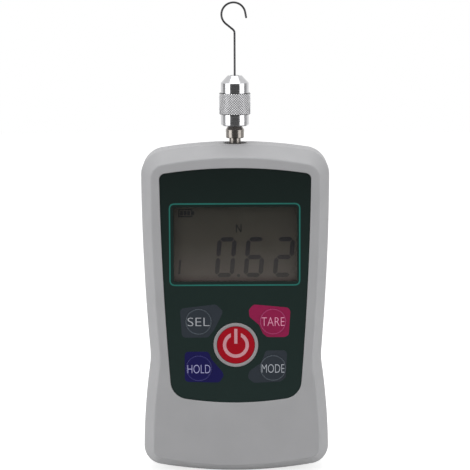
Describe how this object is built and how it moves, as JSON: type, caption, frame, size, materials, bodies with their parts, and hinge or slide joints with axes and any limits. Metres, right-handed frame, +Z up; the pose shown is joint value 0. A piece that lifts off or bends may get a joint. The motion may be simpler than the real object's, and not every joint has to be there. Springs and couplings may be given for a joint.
{
  "type": "force gauge",
  "caption": "Hand-held digital force gauge with a segment display, a film keypad and a three-jaw pin chuck that grips a wire hook.",
  "frame": {"origin": "middle of the curved foot that the case stands on", "axes": "+Z up along the pull axis, display facing -Y, +X to the right of the display"},
  "size_m": [0.081, 0.036, 0.2044],
  "materials": {
    "case_shell": "fine matt moulded light grey",
    "panel_film": "dark green satin film",
    "key_slate": "dark slate film",
    "key_magenta": "magenta film",
    "key_navy": "navy film",
    "key_red": "red film with a pale rim",
    "display_window": "clear",
    "display_glass": "grey-brown liquid crystal glass",
    "holder_plastic": "black",
    "connector_rubber": "striped silicone",
    "circuit_board": "green solder mask",
    "chip_plastic": "black",
    "socket_plastic": "cream",
    "switch_plastic": "black",
    "plunger_plastic": "dark grey",
    "screw_steel": "zinc plated",
    "bracket_steel": "bright plated plate",
    "cell_aluminium": "milled",
    "cover_rubber": "white silicone",
    "bush_brass": "turned",
    "shaft_steel": "turned and polished",
    "chuck_steel": "bright plated, the sleeve knurled",
    "nut_steel": "plain",
    "jaw_steel": "hardened",
    "hook_wire": "bright spring wire",
    "battery_jacket": "plain wrapped can",
    "contact_metal": "nickel plated",
    "lead_sleeve": "soft insulation"
  },
  "bodies": {
    "case": {"front_case": "case_shell", "rear_case": "case_shell", "keypad_overlay": "panel_film", "lcd_window": "display_window", "lcd_panel": "display_glass", "lcd_holder": "holder_plastic", "lcd_connectors": "connector_rubber", "main_board": "circuit_board", "controller_chip": "chip_plastic", "buzzer": "chip_plastic", "board_sockets": "socket_plastic", "switch_bodies": "switch_plastic", "board_screws": "screw_steel", "bracket_screws": "screw_steel", "cell_screw": "screw_steel", "case_screws": "screw_steel", "cell_bracket": "bracket_steel", "load_cell": "cell_aluminium", "gauge_covers": "cover_rubber", "stand_bushes": "bush_brass", "battery_cells": "battery_jacket", "battery_springs": "contact_metal", "battery_contacts": "contact_metal", "sensor_lead": "lead_sleeve", "battery_lead": "lead_sleeve"},
    "shaft": {"shaft": "shaft_steel", "jam_nut": "screw_steel", "lock_collar": "shaft_steel", "chuck_body": "chuck_steel", "chuck_base_ring": "chuck_steel"},
    "chuck_sleeve": {"chuck_sleeve": "chuck_steel", "chuck_nut": "nut_steel"},
    "chuck_jaw_1": {"chuck_jaw_1": "jaw_steel"},
    "chuck_jaw_2": {"chuck_jaw_2": "jaw_steel"},
    "chuck_jaw_3": {"chuck_jaw_3": "jaw_steel"},
    "hook": {"hook": "hook_wire"},
    "select_key": {"select_key": "key_slate", "select_switch_plunger": "plunger_plastic"},
    "tare_key": {"tare_key": "key_magenta", "tare_switch_plunger": "plunger_plastic"},
    "hold_key": {"hold_key": "key_navy", "hold_switch_plunger": "plunger_plastic"},
    "mode_key": {"mode_key": "key_slate", "mode_switch_plunger": "plunger_plastic"},
    "power_key": {"power_key": "key_red", "power_switch_plunger": "plunger_plastic"},
    "battery_door": {"battery_door": "case_shell"}
  },
  "joints": [
    {"name": "shaft_slide", "type": "slide", "parent": "case", "child": "shaft", "axis": [0, 0, 1], "range_m": [-0.0005, 0.0005], "stiffness_N_per_m": 20000, "deforming": ["load_cell"]},
    {"name": "sleeve_turn", "type": "hinge", "parent": "shaft", "child": "chuck_sleeve", "pos_m": [0, 0, 0.16], "axis": [0, 0, 1], "range_deg": [0, 1440]},
    {"name": "jaw_1_slide", "type": "slide", "parent": "shaft", "child": "chuck_jaw_1", "axis": [0, 0.2079, -0.9781], "range_m": [0, 0.002]},
    {"name": "jaw_2_slide", "type": "slide", "parent": "shaft", "child": "chuck_jaw_2", "axis": [-0.1801, -0.104, -0.9781], "range_m": [0, 0.002]},
    {"name": "jaw_3_slide", "type": "slide", "parent": "shaft", "child": "chuck_jaw_3", "axis": [0.1801, -0.104, -0.9781], "range_m": [0, 0.002]},
    {"name": "hook_slide", "type": "slide", "parent": "shaft", "child": "hook", "axis": [0, 0, 1], "range_m": [0, 0.012]},
    {"name": "select_key_press", "type": "slide", "parent": "case", "child": "select_key", "axis": [0, 1, 0], "range_m": [0, 0.0004], "stiffness_N_per_m": 5000},
    {"name": "tare_key_press", "type": "slide", "parent": "case", "child": "tare_key", "axis": [0, 1, 0], "range_m": [0, 0.0004], "stiffness_N_per_m": 5000},
    {"name": "hold_key_press", "type": "slide", "parent": "case", "child": "hold_key", "axis": [0, 1, 0], "range_m": [0, 0.0004], "stiffness_N_per_m": 5000},
    {"name": "mode_key_press", "type": "slide", "parent": "case", "child": "mode_key", "axis": [0, 1, 0], "range_m": [0, 0.0004], "stiffness_N_per_m": 5000},
    {"name": "power_key_press", "type": "slide", "parent": "case", "child": "power_key", "axis": [0, 1, 0], "range_m": [0, 0.0004], "stiffness_N_per_m": 5000},
    {"name": "battery_door_hinge", "type": "hinge", "parent": "case", "child": "battery_door", "pos_m": [0, 0.0167, 0.0118], "axis": [-1, 0, 0], "range_deg": [0, 90]}
  ],
  "couplings": [
    {"joint": "jaw_1_slide", "follows": "sleeve_turn", "m_per_rad": 0.00007957},
    {"joint": "jaw_2_slide", "follows": "sleeve_turn", "m_per_rad": 0.00007957},
    {"joint": "jaw_3_slide", "follows": "sleeve_turn", "m_per_rad": 0.00007957}
  ]
}
